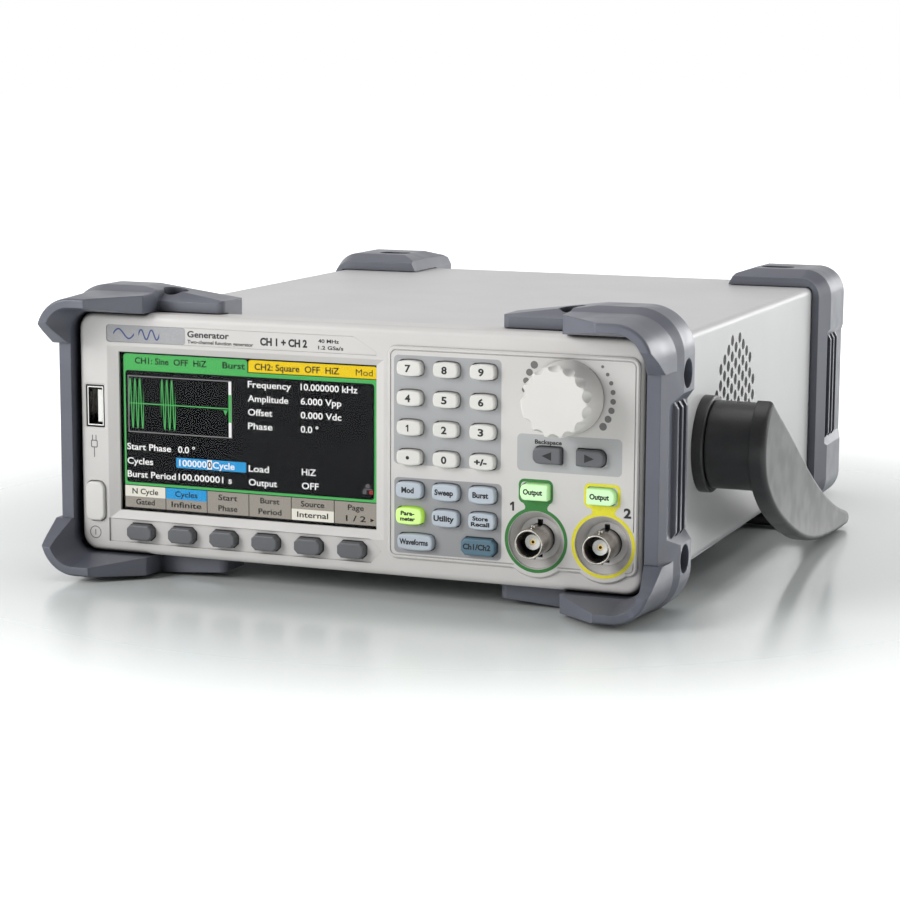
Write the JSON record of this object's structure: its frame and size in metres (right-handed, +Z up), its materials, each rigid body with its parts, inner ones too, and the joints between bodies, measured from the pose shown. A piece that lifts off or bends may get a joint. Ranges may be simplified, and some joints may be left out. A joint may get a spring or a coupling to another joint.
{
  "type": "function generator",
  "caption": "Bench function generator with a display, keypad, tuning knob, output sockets, corner bumpers and a swinging carrying handle.",
  "frame": {"origin": "centre of the bounding box's underside, on the surface the bumpers stand on", "axes": "+X to the right and +Y to the back when facing the front panel, +Z up"},
  "size_m": [0.2552, 0.2816, 0.1],
  "materials": {
    "front_plastic": "fine textured warm light grey moulding",
    "lens": "clear hard-coated window",
    "display": "dark display glass in a metal frame",
    "plated_steel": "bright plated steel",
    "nickel": "nickel plate",
    "insulator": "white fluoropolymer",
    "gold_contact": "gold plate",
    "circuit_board": "green solder mask",
    "case_paint": "smooth light grey powder coat",
    "zinc_steel": "zinc-plated sheet",
    "black_plastic": "black moulding",
    "bumper_rubber": "satin slate-grey elastomer",
    "black_steel": "black oxide",
    "handle_plastic": "stippled graphite moulding",
    "knob_plastic": "satin off-white moulding",
    "white_key": "silicone with a hard off-white cap",
    "dark_key": "dark grey cap",
    "function_key": "translucent blue-grey cap",
    "channel_key": "steel-blue cap",
    "lit_key": "lit lime-green cap",
    "output_key": "lit pale green cap"
  },
  "bodies": {
    "instrument": {"front_bezel": "front_plastic", "control_plate": "front_plastic", "screen_lens": "lens", "lcd_module": "display", "front_usb_socket": "plated_steel", "encoder": "plated_steel", "bnc_sockets": "nickel", "socket_insulators": "insulator", "socket_contacts": "gold_contact", "socket_nuts": "nickel", "key_board": "circuit_board", "top_cover": "case_paint", "base_chassis": "zinc_steel", "rear_panel": "case_paint", "mains_inlet": "black_plastic", "data_ports": "plated_steel", "fan_frame": "black_plastic", "main_board": "circuit_board", "power_supply": "circuit_board", "front_bumper_left": "bumper_rubber", "front_bumper_right": "bumper_rubber", "rear_bumper_left": "bumper_rubber", "rear_bumper_right": "bumper_rubber", "bumper_screws": "black_steel", "handle_hubs": "handle_plastic"},
    "handle_body": {"handle": "handle_plastic"},
    "knob_body": {"tuning_knob": "knob_plastic", "knob_shaft": "plated_steel"},
    "fan_body": {"fan_rotor": "black_plastic"},
    "soft_key_1_body": {"soft_key_1": "dark_key"},
    "soft_key_2_body": {"soft_key_2": "dark_key"},
    "soft_key_3_body": {"soft_key_3": "dark_key"},
    "soft_key_4_body": {"soft_key_4": "dark_key"},
    "soft_key_5_body": {"soft_key_5": "dark_key"},
    "soft_key_6_body": {"soft_key_6": "dark_key"},
    "key_0_body": {"key_0": "white_key"},
    "key_1_body": {"key_1": "white_key"},
    "key_2_body": {"key_2": "white_key"},
    "key_3_body": {"key_3": "white_key"},
    "key_4_body": {"key_4": "white_key"},
    "key_5_body": {"key_5": "white_key"},
    "key_6_body": {"key_6": "white_key"},
    "key_7_body": {"key_7": "white_key"},
    "key_8_body": {"key_8": "white_key"},
    "key_9_body": {"key_9": "white_key"},
    "key_point_body": {"key_point": "white_key"},
    "key_sign_body": {"key_sign": "white_key"},
    "key_mod_body": {"key_mod": "function_key"},
    "key_sweep_body": {"key_sweep": "function_key"},
    "key_burst_body": {"key_burst": "function_key"},
    "key_utility_body": {"key_utility": "function_key"},
    "key_store_body": {"key_store": "function_key"},
    "key_waveforms_body": {"key_waveforms": "function_key"},
    "key_parameter_body": {"key_parameter": "lit_key"},
    "key_channel_body": {"key_channel": "channel_key"},
    "key_left_body": {"key_left": "dark_key"},
    "key_right_body": {"key_right": "dark_key"},
    "key_output_1_body": {"key_output_1": "output_key"},
    "key_output_2_body": {"key_output_2": "output_key"},
    "power_button_body": {"power_button": "white_key"}
  },
  "joints": [
    {"name": "handle_swing", "type": "hinge", "parent": "instrument", "child": "handle_body", "pos_m": [0, -0.05475, 0.048], "axis": [-1, 0, 0], "range_deg": [0, 300]},
    {"name": "knob_turn", "type": "hinge", "parent": "instrument", "child": "knob_body", "pos_m": [0.0766, -0.12425, 0.0715], "axis": [0, 1, 0], "continuous": true},
    {"name": "fan_spin", "type": "hinge", "parent": "instrument", "child": "fan_body", "pos_m": [0.055, 0.11075, 0.047], "axis": [0, 1, 0], "continuous": true},
    {"name": "soft_key_1_press", "type": "slide", "parent": "instrument", "child": "soft_key_1_body", "axis": [0, 1, 0], "range_m": [0, 0.0008], "stiffness_N_per_m": 1500, "springref_m": -0.0008},
    {"name": "soft_key_2_press", "type": "slide", "parent": "instrument", "child": "soft_key_2_body", "axis": [0, 1, 0], "range_m": [0, 0.0008], "stiffness_N_per_m": 1500, "springref_m": -0.0008},
    {"name": "soft_key_3_press", "type": "slide", "parent": "instrument", "child": "soft_key_3_body", "axis": [0, 1, 0], "range_m": [0, 0.0008], "stiffness_N_per_m": 1500, "springref_m": -0.0008},
    {"name": "soft_key_4_press", "type": "slide", "parent": "instrument", "child": "soft_key_4_body", "axis": [0, 1, 0], "range_m": [0, 0.0008], "stiffness_N_per_m": 1500, "springref_m": -0.0008},
    {"name": "soft_key_5_press", "type": "slide", "parent": "instrument", "child": "soft_key_5_body", "axis": [0, 1, 0], "range_m": [0, 0.0008], "stiffness_N_per_m": 1500, "springref_m": -0.0008},
    {"name": "soft_key_6_press", "type": "slide", "parent": "instrument", "child": "soft_key_6_body", "axis": [0, 1, 0], "range_m": [0, 0.0008], "stiffness_N_per_m": 1500, "springref_m": -0.0008},
    {"name": "key_0_press", "type": "slide", "parent": "instrument", "child": "key_0_body", "axis": [0, 1, 0], "range_m": [0, 0.0008], "stiffness_N_per_m": 1500, "springref_m": -0.0008},
    {"name": "key_1_press", "type": "slide", "parent": "instrument", "child": "key_1_body", "axis": [0, 1, 0], "range_m": [0, 0.0008], "stiffness_N_per_m": 1500, "springref_m": -0.0008},
    {"name": "key_2_press", "type": "slide", "parent": "instrument", "child": "key_2_body", "axis": [0, 1, 0], "range_m": [0, 0.0008], "stiffness_N_per_m": 1500, "springref_m": -0.0008},
    {"name": "key_3_press", "type": "slide", "parent": "instrument", "child": "key_3_body", "axis": [0, 1, 0], "range_m": [0, 0.0008], "stiffness_N_per_m": 1500, "springref_m": -0.0008},
    {"name": "key_4_press", "type": "slide", "parent": "instrument", "child": "key_4_body", "axis": [0, 1, 0], "range_m": [0, 0.0008], "stiffness_N_per_m": 1500, "springref_m": -0.0008},
    {"name": "key_5_press", "type": "slide", "parent": "instrument", "child": "key_5_body", "axis": [0, 1, 0], "range_m": [0, 0.0008], "stiffness_N_per_m": 1500, "springref_m": -0.0008},
    {"name": "key_6_press", "type": "slide", "parent": "instrument", "child": "key_6_body", "axis": [0, 1, 0], "range_m": [0, 0.0008], "stiffness_N_per_m": 1500, "springref_m": -0.0008},
    {"name": "key_7_press", "type": "slide", "parent": "instrument", "child": "key_7_body", "axis": [0, 1, 0], "range_m": [0, 0.0008], "stiffness_N_per_m": 1500, "springref_m": -0.0008},
    {"name": "key_8_press", "type": "slide", "parent": "instrument", "child": "key_8_body", "axis": [0, 1, 0], "range_m": [0, 0.0008], "stiffness_N_per_m": 1500, "springref_m": -0.0008},
    {"name": "key_9_press", "type": "slide", "parent": "instrument", "child": "key_9_body", "axis": [0, 1, 0], "range_m": [0, 0.0008], "stiffness_N_per_m": 1500, "springref_m": -0.0008},
    {"name": "key_point_press", "type": "slide", "parent": "instrument", "child": "key_point_body", "axis": [0, 1, 0], "range_m": [0, 0.0008], "stiffness_N_per_m": 1500, "springref_m": -0.0008},
    {"name": "key_sign_press", "type": "slide", "parent": "instrument", "child": "key_sign_body", "axis": [0, 1, 0], "range_m": [0, 0.0008], "stiffness_N_per_m": 1500, "springref_m": -0.0008},
    {"name": "key_mod_press", "type": "slide", "parent": "instrument", "child": "key_mod_body", "axis": [0, 1, 0], "range_m": [0, 0.0008], "stiffness_N_per_m": 1500, "springref_m": -0.0008},
    {"name": "key_sweep_press", "type": "slide", "parent": "instrument", "child": "key_sweep_body", "axis": [0, 1, 0], "range_m": [0, 0.0008], "stiffness_N_per_m": 1500, "springref_m": -0.0008},
    {"name": "key_burst_press", "type": "slide", "parent": "instrument", "child": "key_burst_body", "axis": [0, 1, 0], "range_m": [0, 0.0008], "stiffness_N_per_m": 1500, "springref_m": -0.0008},
    {"name": "key_utility_press", "type": "slide", "parent": "instrument", "child": "key_utility_body", "axis": [0, 1, 0], "range_m": [0, 0.0008], "stiffness_N_per_m": 1500, "springref_m": -0.0008},
    {"name": "key_store_press", "type": "slide", "parent": "instrument", "child": "key_store_body", "axis": [0, 1, 0], "range_m": [0, 0.0008], "stiffness_N_per_m": 1500, "springref_m": -0.0008},
    {"name": "key_waveforms_press", "type": "slide", "parent": "instrument", "child": "key_waveforms_body", "axis": [0, 1, 0], "range_m": [0, 0.0008], "stiffness_N_per_m": 1500, "springref_m": -0.0008},
    {"name": "key_parameter_press", "type": "slide", "parent": "instrument", "child": "key_parameter_body", "axis": [0, 1, 0], "range_m": [0, 0.0008], "stiffness_N_per_m": 1500, "springref_m": -0.0008},
    {"name": "key_channel_press", "type": "slide", "parent": "instrument", "child": "key_channel_body", "axis": [0, 1, 0], "range_m": [0, 0.0008], "stiffness_N_per_m": 1500, "springref_m": -0.0008},
    {"name": "key_left_press", "type": "slide", "parent": "instrument", "child": "key_left_body", "axis": [0, 1, 0], "range_m": [0, 0.0008], "stiffness_N_per_m": 1500, "springref_m": -0.0008},
    {"name": "key_right_press", "type": "slide", "parent": "instrument", "child": "key_right_body", "axis": [0, 1, 0], "range_m": [0, 0.0008], "stiffness_N_per_m": 1500, "springref_m": -0.0008},
    {"name": "key_output_1_press", "type": "slide", "parent": "instrument", "child": "key_output_1_body", "axis": [0, 1, 0], "range_m": [0, 0.0008], "stiffness_N_per_m": 1500, "springref_m": -0.0008},
    {"name": "key_output_2_press", "type": "slide", "parent": "instrument", "child": "key_output_2_body", "axis": [0, 1, 0], "range_m": [0, 0.0008], "stiffness_N_per_m": 1500, "springref_m": -0.0008},
    {"name": "power_button_press", "type": "slide", "parent": "instrument", "child": "power_button_body", "axis": [0, 1, 0], "range_m": [0, 0.0008], "stiffness_N_per_m": 1500, "springref_m": -0.0008}
  ]
}
